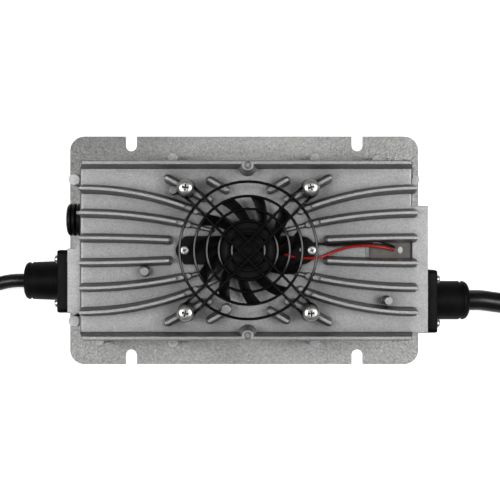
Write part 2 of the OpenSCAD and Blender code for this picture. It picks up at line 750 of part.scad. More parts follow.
// Four-pole stator of the motor with its coils
module fan_stator() {
    z0 = motor_plate_top + motor_board_t;
    color([0.7, 0.4, 0.15]) translate([fan_x, 0, z0]) difference() {
        union() {
            cylinder(r = 6.5, h = 5.6);
            for (a = [45:90:315]) rotate(a) {
                translate([5, -3, 0]) cube([5, 6, 5.6]);
                intersection() {
                    cylinder(r = 12, h = 5.6);
                    translate([9.5, -7, 0]) cube([3, 14, 5.6]);
                }
            }
        }
        translate([0, 0, -1]) cylinder(r = bearing_tube_r + 0.05, h = 8);
    }
}

// Bearing sleeve of the fan
module fan_bearing() {
    color("goldenrod") translate([fan_x, 0, bar_z + 2.4]) difference() {
        cylinder(r = bearing_r, h = 7.6);
        translate([0, 0, 0.6]) cylinder(r = shaft_r + running_gap, h = 10);
    }
}

// Fan shaft
module fan_shaft() {
    z0 = bar_z + 2.4 + 0.6 + 0.05;
    color("lightgray") translate([fan_x, 0, z0]) cylinder(r = shaft_r, h = hub_top - 0.8 - z0);
}

// Place on a blade's middle surface: share of the span, share of the chord
function blade_point(span, chord, side) =
    let (r = hub_r - 0.6 + span * (impeller_r - hub_r + 0.6),
        middle = blade_sweep * span,
        half = blade_chord / 2 / r * 180 / PI * (0.72 + 0.28 * span),
        camber = 1.1 * (1 - pow(2 * chord - 1, 2)),
        thick = blade_t * (0.35 + 0.65 * (1 - pow(2 * chord - 1, 2))) / 2,
        a = middle + (2 * chord - 1) * half,
        z = blade_z[0] + 0.6 + chord * (blade_z[1] - blade_z[0] - 1.4) + (side * thick + camber) * 0.72,
        shift = (side * thick + camber) * 0.66 / r * 180 / PI)
    [r * cos(a - shift), r * sin(a - shift), z];

// One pitched and swept blade as a closed solid
module blade() {
    spans = 4;
    chords = 5;
    row = chords + 1;
    page = (spans + 1) * row;
    points = [for (side = [1, -1], i = [0:spans], j = [0:chords]) blade_point(i / spans, j / chords, side)];
    upper = [for (i = [0:spans - 1], j = [0:chords - 1])
        let (p = i * row + j) each [[p, p + 1, p + row + 1], [p, p + row + 1, p + row]]];
    lower = [for (i = [0:spans - 1], j = [0:chords - 1])
        let (p = page + i * row + j) each [[p, p + row + 1, p + 1], [p, p + row, p + row + 1]]];
    hub_edge = [for (j = [0:chords - 1]) each [[j, page + j + 1, j + 1], [j, page + j, page + j + 1]]];
    tip_edge = [for (j = [0:chords - 1]) let (p = spans * row + j)
        each [[p + 1, page + p, p], [p + 1, page + p + 1, page + p]]];
    tail_edge = [for (i = [0:spans - 1]) let (p = i * row)
        each [[p + row, page + p, p], [p + row, page + p + row, page + p]]];
    lead_edge = [for (i = [0:spans - 1]) let (p = i * row + chords)
        each [[p, page + p + row, p + row], [p, page + p, page + p + row]]];
    polyhedron(points, concat(upper, lower, hub_edge, tip_edge, tail_edge, lead_edge));
}

// Impeller: a cup-shaped hub with pitched blades
module fan_impeller() {
    first_blade = 62.5;
    color([0.07, 0.07, 0.07]) translate([fan_x, 0, 0]) {
        difference() {
            union() {
                rotate_extrude() polygon(concat([[hub_r - hub_wall, hub_z], [hub_r, hub_z]],
                    arc(hub_r - 1.4, hub_top - 1.4, 1.4, 0, 90, 4),
                    [[12.5, hub_top], [11.8, hub_top - 0.5], [0, hub_top - 0.5], [0, hub_top - 2],
                    [hub_r - hub_wall, hub_top - 2]]));
                translate([0, 0, hub_top - 2.3]) cylinder(r = 3.2, h = 1);
            }
            translate([0, 0, hub_z]) cylinder(r = shaft_r + 0.02, h = hub_top - 0.8 - hub_z);
        }
        for (k = [0:blade_count - 1]) rotate(first_blade + 360 * k / blade_count) blade();
    }
}

// Steel ring inside the hub that carries the magnet
module rotor_yoke() {
    ring(hub_r - hub_wall - 0.03, hub_r - hub_wall - 0.9, hub_z + 0.1, hub_top - 2, [0.5, 0.5, 0.52]);
}

// Ring magnet of the rotor
module rotor_magnet() {
    ring(hub_r - hub_wall - 0.93, hub_r - hub_wall - 2.9, hub_z + 0.2, hub_top - 2, [0.2, 0.2, 0.2]);
}

// Plain ring round the fan's axis
module ring(r_out, r_in, z0, z1, tone) {
    color(tone) translate([fan_x, 0, z0]) difference() {
        cylinder(r = r_out, h = z1 - z0);
        translate([0, 0, -1]) cylinder(r = r_in, h = z1 - z0 + 2);
    }
}

// Screws through the ears of the fan's bracket
module fan_screws() {
    color("silver") for (x = [-ear_x, ear_x]) translate([fan_x + x, 0, bar_top])
        pan_screw(2.65, 1.9, 1.5, 5.6, 20);
}

// Wires of the fan
module red_fan_wire() {
    color("red") tube(red_route, fan_wire_r, 8);
}

module black_fan_wire() {
    color("black") tube(black_route, fan_wire_r, 8);
}

// Five wire rings of the finger guard
module guard_rings() {
    color([0.05, 0.05, 0.05]) translate([fan_x, 0, ring_z]) for (r = guard_ring_r)
        rotate_extrude() translate([r, 0]) circle(guard_r);
}

// Straight stretch of an arm wire, a hair thinner than the bends it runs into
module arm_rod(from, to) {
    run = to - from;
    lap = unit(run) * arm_lap;
    translate(from - lap) rotate([0, acos(run[2] / norm(run)), atan2(run[1], run[0])])
        cylinder(r = guard_r - arm_hair, h = norm(run) + 2 * arm_lap);
}

// Bend of an arm wire in the upright plane, round a centre between two angles
module arm_bend(at, a0, a1) {
    translate(at) rotate([90, 0, 0]) rotate(a0) rotate_extrude(angle = a1 - a0)
        translate([arm_bend_r, 0]) circle(guard_r);
}

// One closed wire that crosses the guard, dips at both ends and loops round two screws
module arm_wire() {
    half = arm_gap / 2;
    dip = atan2(arm_z - loop_z, arm_foot - arm_level_end);
    cut = arm_bend_r * tan(dip / 2);
    high = [arm_level_end - cut, arm_z - arm_bend_r];
    low = [arm_foot + cut, loop_z + arm_bend_r];
    toe = arm_bend_r * [sin(dip), cos(dip)];
    top = high + toe;
    foot = low - toe;
    for (sx = [0, 1], sy = [-1, 1]) mirror([sx, 0, 0]) {
        arm_bend([high[0], sy * half, high[1]], 90 - dip, 90);
        arm_bend([low[0], sy * half, low[1]], 270 - dip, 270);
        arm_rod([top[0], sy * half, top[1]], [foot[0], sy * half, foot[1]]);
        arm_rod([low[0], sy * half, loop_z], [post_along, sy * half, loop_z]);
    }
    for (sy = [-1, 1]) arm_rod([-high[0], sy * half, arm_z], [high[0], sy * half, arm_z]);
    for (turn = [0, 180]) rotate(turn) translate([post_along, 0, loop_z]) rotate(-90)
        rotate_extrude(angle = 180) translate([half, 0]) circle(guard_r);
}

// Two crossing pairs of arm wires of the finger guard
module guard_arms() {
    color([0.05, 0.05, 0.05]) translate([fan_x, 0, 0]) for (a = [45, -45]) rotate(a) arm_wire();
}

// Screws that hold the guard on its four posts
module guard_screws() {
    color([0.85, 0.85, 0.86]) for (sx = [-1, 1], sy = [-1, 1])
        translate([fan_x + sx * guard_pitch / 2, sy * guard_pitch / 2, loop_z + guard_r])
            pan_screw(5, 3.3, guard_screw_r, 12, 10 * sx + 5 * sy);
}

// Cable gland: a square flange with a round sleeve, standing on its flange
module cable_gland(sleeve, cable_r) {
    edge = 1.4;
    half = flange_side / 2;
    length = flange_t + sleeve[0];
    groove = length - sleeve[3];
    nose = sleeve[3] - 1.2;
    shoulder = [[-half, 0], [half, 0], [half, flange_t - edge], [half - edge * 0.3, flange_t - edge * 0.3],
        [half - edge, flange_t], [edge - half, flange_t], [edge * 0.3 - half, flange_t - edge * 0.3],
        [-half, flange_t - edge]];
    color([0.08, 0.08, 0.08]) difference() {
        union() {
            intersection() {
                linear_extrude(flange_t) rounded_rect(flange_side, flange_side, 3);
                translate([0, half, 0]) rotate([90, 0, 0]) linear_extrude(flange_side) polygon(shoulder);
                translate([-half, 0, 0]) along_x() linear_extrude(flange_side) polygon(shoulder);
            }
            rotate_extrude() polygon(concat([[0, 1], [sleeve[1], 1], [sleeve[1], flange_t],
                [sleeve[2], groove - 0.9], [sleeve[2] - 0.7, groove - 0.5], [sleeve[2] - 0.7, groove + 0.3]],
                arc(sleeve[2] - nose, length - nose, nose, 0, 90, 5), [[0, length]]));
        }
        translate([0, 0, -1]) cylinder(r = cable_r + slide_gap, h = length + 2);
        gland_bolt_places() translate([0, 0, -1]) cylinder(r = gland_screw_r + slide_gap, h = flange_t + 2);
    }
}

// Child at the four screw places of a gland
module gland_bolt_places() {
    for (a = [-1, 1], b = [-1, 1]) translate([a * gland_pitch / 2, b * gland_pitch / 2, 0]) children();
}

// Flat gasket under a gland, standing on its pad
module gland_gasket(cable_r) {
    inset = 1;
    color([0.15, 0.15, 0.15]) linear_extrude(gland_gasket_t) difference() {
        rounded_rect(flange_side - inset, flange_side - inset, 3);
        circle(cable_r + 0.3);
        gland_bolt_places() circle(gland_screw_r + slide_gap);
    }
}

// Child carried to the mains side's pad, with its +Z pointing out of the housing
module at_input(out = 0) {
    translate([-left_pad_x - out, -input_y, cable_z]) rotate([0, -90, 0]) children();
}

// Child carried to the battery side's pad, with its +Z pointing out of the housing
module at_output(out = 0) {
    translate([right_pad_x + out, -output_y, cable_z]) rotate([0, 90, 0]) children();
}

// Screws of a gland
module gland_screws() {
    color("silver") gland_bolt_places() pan_screw(2.65, 2.1, gland_screw_r, 12, 15);
}

module input_gland_gasket() { at_input() gland_gasket(input_d / 2); }
module input_gland() { at_input(gland_gasket_t) cable_gland(input_sleeve, input_d / 2); }
module input_gland_screws() { at_input(gland_gasket_t + flange_t) gland_screws(); }
module output_gland_gasket() { at_output() gland_gasket(output_d / 2); }
module output_gland() { at_output(gland_gasket_t) cable_gland(output_sleeve, output_d / 2); }
module output_gland_screws() { at_output(gland_gasket_t + flange_t) gland_screws(); }

// Mains lead inside its gland, the wall and the potting compound
module input_lead_inner() {
    color([0.1, 0.1, 0.1]) translate([-input_exit, -input_y, cable_z]) rotate([0, 90, 0])
        cylinder(r = input_d / 2, h = input_exit - cavity_left + 8);
}

// Battery lead inside its gland, the wall and the potting compound
module output_lead_inner() {
    color([0.1, 0.1, 0.1]) translate([cavity_right - 8, -output_y, cable_z]) rotate([0, 90, 0])
        cylinder(r = output_d / 2, h = output_exit - cavity_right + 8);
}

// Mains lead from the gland to its coil
module input_cable() {
    color([0.1, 0.1, 0.1]) tube(input_route, input_d / 2, 12);
}

// Outer shape of the mains lead's coil: three turns side by side, two on top of each other
module input_coil() {
    r = input_d / 2;
    color([0.1, 0.1, 0.1]) translate(input_coil_at) rotate_extrude() translate([input_coil_r, 2 * r])
        rounded_rect(6 * r, 4 * r, r);
}

// Mains lead from its coil up to the plug
module input_tail() {
    color([0.1, 0.1, 0.1]) tube(input_tail_route, input_d / 2, 12);
}

// Mains plug with its tapered strain relief, lying on the coil
module mains_plug() {
    half_h = plug_at[2] - 4 * input_d / 2;
    color([0.06, 0.06, 0.06]) translate(plug_at) rotate([-90, 0, 0]) {
        cylinder(r1 = 5.2, r2 = 7.5, h = plug_neck_l);
        translate([0, 0, plug_neck_l]) linear_extrude(plug_body_l) rounded_rect(27, 2 * half_h, 6);
    }
}

// Two flat blades and the round earth pin of the plug
module mains_plug_pins() {
    color("gold") translate(plug_at + [0, plug_neck_l + plug_body_l, 0]) {
        for (x = [-6.35, 6.35]) translate([x - 0.75, 0, 1.5]) cube([1.5, 15.5, 6.3]);
        translate([0, 0, -7.2]) rotate([-90, 0, 0]) {
            cylinder(r = 2.4, h = 15);
            translate([0, 0, 15]) cylinder(r1 = 2.4, r2 = 1.2, h = 2.5);
        }
    }
}

// Battery lead from the gland to its coil
module output_cable() {
    color([0.1, 0.1, 0.1]) tube(output_route, output_d / 2, 12);
}

// Outer shape of the battery lead's coil: two turns side by side
module output_coil() {
    r = output_d / 2;
    color([0.1, 0.1, 0.1]) translate(output_coil_at) rotate_extrude() translate([output_coil_r, r])
        rounded_rect(4 * r, 2 * r, r * 0.98);
}

// Battery lead from its coil up to the connector
module output_tail() {
    color([0.1, 0.1, 0.1]) tube(output_tail_route, output_d / 2, 12);
}

// Two-pole battery connector with two open mouths, lying on the coil
module output_connector() {
    h = 2 * (connector_at[2] - output_d);
    body_l = 46;
    body_x = 6;
    wall = 2;
    mouth = 12.8;
    color([0.55, 0.1, 0.08]) translate(connector_at) difference() {
        union() {
            translate([body_x, -connector_w / 2, -h / 2]) cube([body_l, connector_w, h]);
            rotate([0, 90, 0]) cylinder(r1 = 6.6, r2 = 7.6, h = body_x + through);
        }
        for (y = contact_y) translate([contact_x, y - mouth / 2, wall - h / 2])
            cube([body_x + body_l - contact_x + through, mouth, h - 2 * wall]);
    }
}

// Flat contacts in the connector's two mouths
module connector_contacts() {
    size = [18, 9, 2.4];
    color("silver") translate(connector_at) for (y = contact_y)
        translate([contact_x, y - size[1] / 2, -size[2] / 2]) cube(size);
}

base_plate();
base_gasket();
base_screws();
housing();
potting_compound();
circuit_board();
transformer_core();
transformer_winding();
bulk_capacitors();
input_choke();
output_choke();
output_capacitors();
power_transistors();
input_fuse();
side_plug();
fan_bracket();
fan_motor_board();
fan_stator();
fan_bearing();
fan_screws();
fan_shaft();
fan_impeller();
rotor_yoke();
rotor_magnet();
red_fan_wire();
black_fan_wire();
guard_rings();
guard_arms();
guard_screws();
input_gland_gasket();
input_gland();
input_gland_screws();
input_lead_inner();
output_gland_gasket();
output_gland();
output_gland_screws();
output_lead_inner();
input_cable();
input_coil();
input_tail();
mains_plug();
mains_plug_pins();
output_cable();
output_coil();
output_tail();
output_connector();
connector_contacts();
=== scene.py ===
import math

import bmesh
import bpy
from mathutils import Matrix, Vector, noise


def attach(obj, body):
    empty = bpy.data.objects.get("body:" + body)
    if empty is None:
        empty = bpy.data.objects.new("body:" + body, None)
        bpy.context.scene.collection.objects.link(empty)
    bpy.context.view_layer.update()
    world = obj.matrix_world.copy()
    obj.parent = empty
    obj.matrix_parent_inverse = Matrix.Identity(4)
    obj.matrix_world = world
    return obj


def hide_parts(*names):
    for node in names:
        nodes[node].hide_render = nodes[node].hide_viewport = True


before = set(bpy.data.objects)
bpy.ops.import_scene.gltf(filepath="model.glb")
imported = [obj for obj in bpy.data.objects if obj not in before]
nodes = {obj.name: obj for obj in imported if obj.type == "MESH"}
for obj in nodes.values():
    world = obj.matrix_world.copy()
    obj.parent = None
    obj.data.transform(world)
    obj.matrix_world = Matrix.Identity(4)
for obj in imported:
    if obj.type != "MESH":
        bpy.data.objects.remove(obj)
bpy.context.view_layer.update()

scene = bpy.context.scene
mm = 0.001
mergeDistance = 0.000002  # vertices nearer than this are one
fanX = 0.0026  # the fan's axis lies this far to the right of the plate's middle
scene.view_settings.view_transform = "Standard"
print("frame loaded:", len(nodes), "CAD nodes")


def addObject(name, data):
    made = bpy.data.objects.new(name, data)
    scene.collection.objects.link(made)
    return made


# inputs holds, for each socket, a plain value or the output that feeds it
def addNode(tree, kind, inputs=None, **settings):
    node = tree.nodes.new(kind)
    for name, value in settings.items():
        setattr(node, name, value)
    for name, value in (inputs or {}).items():
        if isinstance(value, bpy.types.NodeSocket):
            tree.links.new(value, node.inputs[name])
        else:
            node.inputs[name].default_value = value
    return node


def useGroup(tree, group, inputs):
    return addNode(tree, "ShaderNodeGroup", inputs, node_tree=group).outputs


def calculated(tree, operation, *values):
    return addNode(tree, "ShaderNodeMath", dict(enumerate(values)), operation=operation).outputs["Value"]


# a value's stretch between two limits, carried over to another stretch
def remapped(tree, value, limits, results=(0.0, 1.0), **settings):
    ends = {"From Min": limits[0], "From Max": limits[1], "To Min": results[0], "To Max": results[1]}
    return addNode(tree, "ShaderNodeMapRange", {"Value": value, **ends}, **settings).outputs["Result"]


def mixed(tree, kind, factor, first, second, **settings):
    inputs = {"Factor": factor, "A": first, "B": second}
    return addNode(tree, "ShaderNodeMix", inputs, data_type=kind, **settings).outputs["Result"]


def multiplied(tree, colour, level):
    return mixed(tree, "RGBA", 1.0, colour, level, blend_type="MULTIPLY")


def newMaterial(name, **inputs):
    material = bpy.data.materials.new(name)
    material.use_nodes = True
    tree = material.node_tree
    shader = tree.nodes["Principled BSDF"]
    for key, value in inputs.items():
        shader.inputs[key.replace("_", " ")].default_value = value
    return material, tree, shader


def grey(level, tint=(1.0, 1.0, 1.0)):
    return (level * tint[0], level * tint[1], level * tint[2], 1)


cameraView = {"at": (0.0036, 0.0002, 0.660), "lens": 76.0, "nearest": 0.02, "farthest": 40.0}
cameraData = bpy.data.cameras.new("overheadCamera")
cameraData.lens = cameraView["lens"]
cameraData.clip_start = cameraView["nearest"]
cameraData.clip_end = cameraView["farthest"]
camera = addObject("overheadCamera", cameraData)
camera.location = cameraView["at"]
scene.camera = camera

# a softbox on each side and a large dim one above, in metres and watts
lightSetup = {
    "right": {"at": (0.70, 0.02, 1.10), "size": (0.5, 0.55), "power": 9.2},
    "left": {"at": (-0.70, 0.0, 1.10), "size": (0.5, 0.55), "power": 8.1},
    "above": {"at": (0.0, 0.10, 1.6), "size": (1.3, 0.9), "power": 0.6},
}
for side, box in lightSetup.items():
    lampData = bpy.data.lights.new(side + "Softbox", "AREA")
    lampData.shape = "RECTANGLE"
    lampData.size, lampData.size_y = box["size"]
    lampData.energy = box["power"]
    lamp = addObject(side + "Softbox", lampData)
    lamp.location = box["at"]
    lamp.rotation_mode = "QUATERNION"
    lamp.rotation_quaternion = (-Vector(box["at"])).to_track_quat("-Z", "Y")


# how bright the surroundings are: straight or through glass, in mirrors, and to all other rays
def seenLevel(tree, seen, mirrored, others):
    rays = addNode(tree, "ShaderNodeLightPath").outputs
    clear = calculated(tree, "MAXIMUM", rays["Is Camera Ray"], rays["Is Transmission Ray"])
    unseen = remapped(tree, rays["Is Glossy Ray"], (0.0, 1.0), (others, mirrored))
    return mixed(tree, "FLOAT", clear, unseen, seen)


worldLook = {"seen": 1.0, "mirrored": 0.13, "others": 0.05}
world = bpy.data.worlds.new("studio")
scene.world = world
world.use_nodes = True
worldTree = world.node_tree
backdrop = worldTree.nodes["Background"]
backdrop.inputs["Color"].default_value = grey(1)
worldTree.links.new(seenLevel(worldTree, **worldLook), backdrop.inputs["Strength"])

# the floor's glow rises with the distance, so that it meets the world's white at the horizon
floorLook = {"radius": 6.0, "sides": 64, "height": -0.0002, "tone": 0.8, "roughness": 0.9,
             "distances": (0.6, 1.6), "levels": (0.8, 1.0), "mirrored": 0.35, "others": 0.0}
floorMaterial, floorTree, floorShader = newMaterial(
    "paleFloor", Base_Color=grey(floorLook["tone"]), Roughness=floorLook["roughness"],
    Emission_Color=grey(1))
floorPlace = addNode(floorTree, "ShaderNodeTexCoord").outputs["Object"]
floorReach = addNode(floorTree, "ShaderNodeVectorMath", {0: floorPlace}, operation="LENGTH")
floorSeen = remapped(floorTree, floorReach.outputs["Value"], floorLook["distances"], floorLook["levels"])
floorLevel = seenLevel(floorTree, floorSeen, floorLook["mirrored"], floorLook["others"])
floorTree.links.new(floorLevel, floorShader.inputs["Emission Strength"])
floorBuild = bmesh.new()
bmesh.ops.create_circle(floorBuild, cap_ends=True, radius=floorLook["radius"],
                        segments=floorLook["sides"])
bmesh.ops.translate(floorBuild, vec=(0, 0, floorLook["height"]), verts=floorBuild.verts)
floorMesh = bpy.data.meshes.new("floor")
floorBuild.to_mesh(floorMesh)
floorBuild.free()
floorMesh.materials.append(floorMaterial)
floor = addObject("floor", floorMesh)
print("camera, floor and lights are set")


# a shader group: an input with no value is a vector, and a tuple is a colour
def newGroup(name, inputs, outputs):
    group = bpy.data.node_groups.new(name, "ShaderNodeTree")
    for socketName, value in inputs.items():
        kind = "Vector" if value is None else "Color" if isinstance(value, tuple) else "Float"
        socket = group.interface.new_socket(name=socketName, in_out="INPUT",
                                            socket_type="NodeSocket" + kind)
        if value is not None:
            socket.default_value = value
    for socketName, kind in outputs.items():
        group.interface.new_socket(name=socketName, in_out="OUTPUT",
                                   socket_type="NodeSocket" + kind)
    return group, addNode(group, "NodeGroupInput").outputs


# most of a noise lies between these
toneLimits = (0.35, 0.65)
grainLimits = (0.3, 0.7)


# fine grain: a blotchy mask and a bumped normal
def makeGrain():
    group, given = newGroup(
        "fineGrain", {"Vector": None, "Scale": 900.0, "Depth": 0.0001, "Strength": 0.5, "Normal": None},
        {"Mask": "Float", "Normal": "Vector"})
    pattern = addNode(group, "ShaderNodeTexNoise", {"Vector": given["Vector"], "Scale": given["Scale"],
                                                    "Detail": 3.0, "Roughness": 0.6}).outputs["Fac"]
    bumped = addNode(group, "ShaderNodeBump", {"Height": pattern, "Distance": given["Depth"],
                                               "Strength": given["Strength"], "Normal": given["Normal"]})
    addNode(group, "NodeGroupOutput", {"Mask": pattern, "Normal": bumped.outputs["Normal"]})
    return group


# uneven tone: a colour between two tones, in large soft patches with small ones in them
def makeTone():
    group, given = newGroup(
        "unevenTone", {"Vector": None, "Large": 40.0, "Small": 600.0, "Fineness": 0.5,
                       "Dark": grey(0.3), "Pale": grey(0.5)},
        {"Color": "Color"})
    large = addNode(group, "ShaderNodeTexNoise", {"Vector": given["Vector"], "Scale": given["Large"],
                                                  "Detail": 2.0}).outputs["Fac"]
    small = addNode(group, "ShaderNodeTexNoise", {"Vector": given["Vector"], "Scale": given["Small"],
                                                  "Detail": 3.0, "Roughness": 0.7}).outputs["Fac"]
    blend = mixed(group, "FLOAT", given["Fineness"], large, small)
    mask = remapped(group, blend, toneLimits)
    colour = mixed(group, "RGBA", mask, given["Dark"], given["Pale"])
    addNode(group, "NodeGroupOutput", {"Color": colour})
    return group


# sparse pits: a mask that is 1 in a few small spots
def makeSpecks():
    group, given = newGroup("sparseSpecks", {"Vector": None, "Scale": 150.0, "Share": 0.1, "Size": 0.1},
                            {"Mask": "Float"})
    cells = addNode(group, "ShaderNodeTexVoronoi", {"Vector": given["Vector"],
                                                    "Scale": given["Scale"]}).outputs
    pick = addNode(group, "ShaderNodeSeparateColor", {"Color": cells["Color"]}).outputs["Red"]
    chosen = calculated(group, "LESS_THAN", pick, given["Share"])
    near = calculated(group, "LESS_THAN", cells["Distance"], given["Size"])
    addNode(group, "NodeGroupOutput", {"Mask": calculated(group, "MULTIPLY", chosen, near)})
    return group


grainGroup, toneGroup, speckGroup = makeGrain(), makeTone(), makeSpecks()


# a finish with grain, uneven tone and uneven roughness, which every material here starts from;
# rounding softens edges, corners paints shade into hollows and corners, and the last argument adds marks
# and painted light that only one material has
def grainedMaterial(name, dark, pale, roughness, metallic=0.0, grainScale=900.0, grainDepth=0.00005,
                    grainStrength=0.4, large=40.0, small=600.0, fineness=0.5, rounding=0.0, corners=None,
                    marksAndPaintedLight=None, **inputs):
    material, tree, shader = newMaterial(name, Metallic=metallic, **inputs)
    place = addNode(tree, "ShaderNodeTexCoord").outputs["Object"]
    colour = useGroup(tree, toneGroup, {"Vector": place, "Large": large, "Small": small,
                                        "Fineness": fineness, "Dark": dark, "Pale": pale})["Color"]
    if rounding:
        facing = addNode(tree, "ShaderNodeBevel", {"Radius": rounding}, samples=6).outputs["Normal"]
    else:
        facing = addNode(tree, "ShaderNodeNewGeometry").outputs["Normal"]
    grain = useGroup(tree, grainGroup, {"Vector": place, "Scale": grainScale, "Depth": grainDepth,
                                        "Strength": grainStrength, "Normal": facing})
    # painted shade: the colour darkens where ambient occlusion finds surfaces close by, in hollows, corners
    # and the roots of fins
    if corners:
        reach, hollow, flat, darkest = corners
        depth = addNode(tree, "ShaderNodeAmbientOcclusion", {"Distance": reach}, samples=8).outputs["AO"]
        colour = multiplied(tree, colour, remapped(tree, depth, (hollow, flat), (darkest, 1.0)))
    if marksAndPaintedLight:
        colour = marksAndPaintedLight(tree, place, colour)
    tree.links.new(colour, shader.inputs["Base Color"])
    tree.links.new(remapped(tree, grain["Mask"], grainLimits, roughness), shader.inputs["Roughness"])
    tree.links.new(grain["Normal"], shader.inputs["Normal"])
    return material


castPitsAndLight = {"pits": {"Scale": 160.0, "Share": 0.05, "Size": 0.06}, "pitTone": 0.06,
            "heights": (0.034, 0.044), "levels": (1.3, 1.0)}


# small dark pits all over, and painted light low down, which makes the bosses and pads paler
def paintCastPitsAndLight(tree, place, colour):
    pits = useGroup(tree, speckGroup, {"Vector": place, **castPitsAndLight["pits"]})["Mask"]
    pitted = mixed(tree, "RGBA", pits, colour, grey(castPitsAndLight["pitTone"]))
    # painted light: surfaces low down, on the bosses and pads, are made paler
    height = addNode(tree, "ShaderNodeSeparateXYZ", {"Vector": place}).outputs["Z"]
    return multiplied(tree, pitted, remapped(tree, height, castPitsAndLight["heights"], castPitsAndLight["levels"]))


zincShadeAndLight = {"direction": (1.0, -1.3, 0.0), "reach": (-0.19, -0.10), "shadeLevels": (0.62, 1.0),
              "aside": (0.03, 0.095), "lightLevels": (1.22, 1.0)}


# painted shade darkens the zinc in its back left corner, and painted light brightens it towards the middle
# of its length
def paintZincShadeAndLight(tree, place, colour):
    across = addNode(tree, "ShaderNodeVectorMath", {0: place, 1: zincShadeAndLight["direction"]},
                     operation="DOT_PRODUCT").outputs["Value"]
    shadeFactor = remapped(tree, across, zincShadeAndLight["reach"], zincShadeAndLight["shadeLevels"])
    along = addNode(tree, "ShaderNodeSeparateXYZ", {"Vector": place}).outputs["X"]
    aside = calculated(tree, "ABSOLUTE", along)
    lightFactor = remapped(tree, aside, zincShadeAndLight["aside"], zincShadeAndLight["lightLevels"],
                      interpolation_type="SMOOTHSTEP")
    return multiplied(tree, colour, calculated(tree, "MULTIPLY", shadeFactor, lightFactor))


castTint = (1, 1, 1.01)
zincTint = (1, 1, 0.98)
screwTint = (1, 0.99, 0.97)

castMetal = grainedMaterial(
    "shotBlastedCasting", grey(0.23), grey(0.36, castTint), (0.33, 0.46), metallic=0.9,
    grainScale=1500.0, grainDepth=0.00025, grainStrength=0.6, large=25.0, small=1300.0, fineness=0.85,
    rounding=0.0007, corners=(0.009, 0.2, 0.9, 0.28), marksAndPaintedLight=paintCastPitsAndLight)
galvanised = grainedMaterial(
    "galvanisedSheet", grey(0.20, zincTint), grey(0.38, zincTint), (0.36, 0.58), metallic=0.9,
    grainScale=650.0, grainDepth=0.0003, grainStrength=0.6, large=18.0, small=800.0, fineness=0.75,
    corners=(0.006, 0.2, 0.9, 0.62), marksAndPaintedLight=paintZincShadeAndLight)
blackMoulding = grainedMaterial(
    "blackMoulding", grey(0.002), grey(0.008), (0.40, 0.56), grainScale=2200.0, grainDepth=0.00006,
    grainStrength=0.5, large=55.0, small=500.0, fineness=0.25, Specular_IOR_Level=0.06)
fanMoulding = grainedMaterial(
    "fanMoulding", grey(0.003), grey(0.0055), (0.32, 0.44), grainScale=2600.0, grainDepth=0.00003,
    Specular_IOR_Level=0.10)
sheathRubber = grainedMaterial(
    "cableSheath", grey(0.004), grey(0.010), (0.24, 0.34), grainScale=1400.0, grainDepth=0.00008,
    large=50.0, fineness=0.3, Specular_IOR_Level=0.25)
sealRubber = grainedMaterial(
    "sealRubber", grey(0.005), grey(0.009), (0.30, 0.45), grainScale=1200.0, Specular_IOR_Level=0.15)
# the black edge tint keeps the coat dark where it is seen at a slant
wireCoat = grainedMaterial(
    "blackWireCoat", grey(0.032), grey(0.044), (0.11, 0.15), metallic=1.0, grainScale=1800.0,
    grainDepth=0.00001, grainStrength=0.2, Specular_Tint=grey(0.0))
brightScrew = grainedMaterial(
    "brightScrew", grey(0.66, screwTint), grey(0.74, screwTint), (0.26, 0.34), metallic=1.0,
    grainDepth=0.00001, grainStrength=0.2, rounding=0.0003, corners=(0.0016, 0.4, 0.9, 0.04))
satinScrew = grainedMaterial(
    "satinScrew", grey(0.60, screwTint), grey(0.70, screwTint), (0.38, 0.46), metallic=1.0,
    grainDepth=0.00001, grainStrength=0.2, rounding=0.0002, corners=(0.0009, 0.35, 0.85, 0.04))
zincScrew = grainedMaterial("zincScrew", grey(0.42), grey(0.55), (0.3, 0.45), metallic=1.0)
groundSteel = grainedMaterial("groundSteel", grey(0.45), grey(0.55), (0.2, 0.35), metallic=1.0)
pottingMix = grainedMaterial(
    "pottingCompound", grey(0.064, (1, 0.88, 0.77)), grey(0.092, (1, 0.89, 0.79)), (0.28, 0.42),
    grainScale=260.0, grainDepth=0.0001, grainStrength=0.25, large=60.0, small=260.0)
pottingPale = grainedMaterial("pottingPaleSpot", grey(0.42), grey(0.55), (0.3, 0.4))
boardGreen = grainedMaterial("solderMask", (0.01, 0.09, 0.03, 1), (0.02, 0.14, 0.05, 1), (0.25, 0.4))
ferrite = grainedMaterial("ferrite", grey(0.03), grey(0.06), (0.5, 0.7), metallic=0.2)
copperWinding = grainedMaterial(
    "enamelledCopper", (0.40, 0.14, 0.05, 1), (0.62, 0.26, 0.10, 1), (0.25, 0.4), metallic=0.9)
componentSleeve = grainedMaterial(
    "componentSleeve", (0.01, 0.012, 0.03, 1), (0.02, 0.022, 0.05, 1), (0.3, 0.45))
fuseCeramic = grainedMaterial("fuseCeramic", grey(0.62), grey(0.75), (0.3, 0.45))
sinteredBronze = grainedMaterial(
    "sinteredBronze", (0.28, 0.17, 0.07, 1), (0.42, 0.27, 0.12, 1), (0.4, 0.6), metallic=1.0)
redInsulation = grainedMaterial(
    "redInsulation", (0.34, 0.008, 0.004, 1), (0.50, 0.014, 0.007, 1), (0.26, 0.36), grainScale=1600.0,
    grainDepth=0.00002, Specular_IOR_Level=0.3)
blackInsulation = grainedMaterial(
    "blackInsulation", grey(0.004), grey(0.008), (0.10, 0.18), grainScale=1600.0, grainDepth=0.00001)
pinBrass = grainedMaterial(
    "pinBrass", (0.50, 0.36, 0.14, 1), (0.62, 0.46, 0.20, 1), (0.18, 0.3), metallic=1.0)
connectorRed = grainedMaterial(
    "connectorMoulding", (0.16, 0.006, 0.004, 1), (0.22, 0.010, 0.007, 1), (0.50, 0.62), grainScale=1800.0,
    Specular_IOR_Level=0.2)
silverPlate = grainedMaterial("silverPlate", grey(0.66), grey(0.8), (0.15, 0.28), metallic=1.0)
